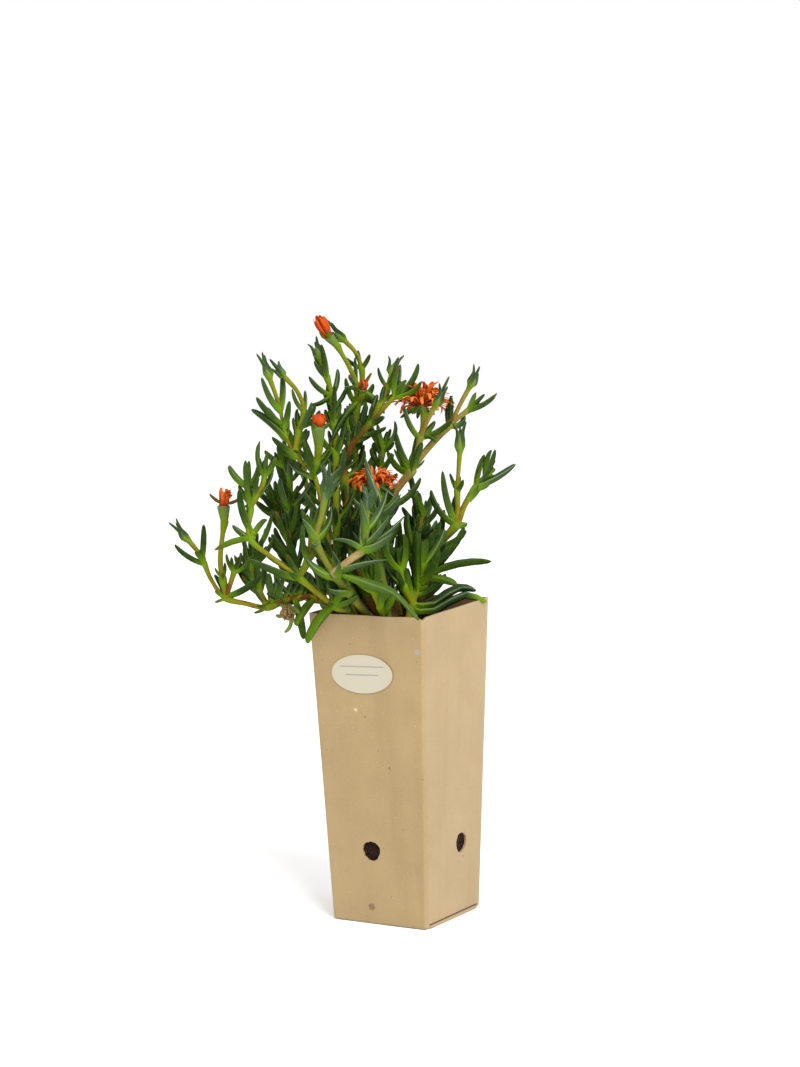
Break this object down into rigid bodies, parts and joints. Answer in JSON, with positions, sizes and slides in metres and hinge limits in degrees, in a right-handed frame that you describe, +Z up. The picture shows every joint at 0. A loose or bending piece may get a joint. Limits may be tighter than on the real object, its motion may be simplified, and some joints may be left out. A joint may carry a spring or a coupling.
{
  "type": "potted malephora",
  "caption": "Branching succulent with slender three-sided leaves, green buds and narrow-petalled orange blooms, in a tall tapered square pot of folded card with drain holes and an oval label.",
  "frame": {"origin": "centre of the underside of the pot", "axes": "+Z up along the pot; -Y out of the face that bears the label; +X out of the face to the right of it"},
  "size_m": [0.1985, 0.189, 0.4227],
  "materials": {
    "card": "matt kraft card",
    "paper": "smooth cream paper",
    "soil": "dark crumbly fibrous soil",
    "leaf": "waxy succulent leaf, stem and bud",
    "petal": "silky orange petal",
    "withered": "dry brown withered bloom"
  },
  "bodies": {
    "root": {"card_pot": "card", "label": "paper", "soil": "soil", "stem_low_left": "leaf", "stem_front_left": "leaf", "stem_mid_left": "leaf", "stem_upper_left": "leaf", "stem_trunk": "leaf", "stem_pink": "leaf", "stem_tall": "leaf", "stem_mid_right": "leaf", "stem_right_top": "leaf", "stem_right": "leaf", "stem_fan": "leaf", "stem_front": "leaf", "stem_centre": "leaf", "stem_low_front": "leaf", "stem_back_left": "leaf", "stem_back_mid": "leaf", "stem_back_right": "leaf", "stem_back_low": "leaf", "bloom_top": "petal", "bloom_left": "petal", "bloom_dome": "petal", "bloom_small": "petal", "bloom_right": "petal", "bloom_centre": "petal", "withered_bloom": "withered"}
  },
  "joints": []
}
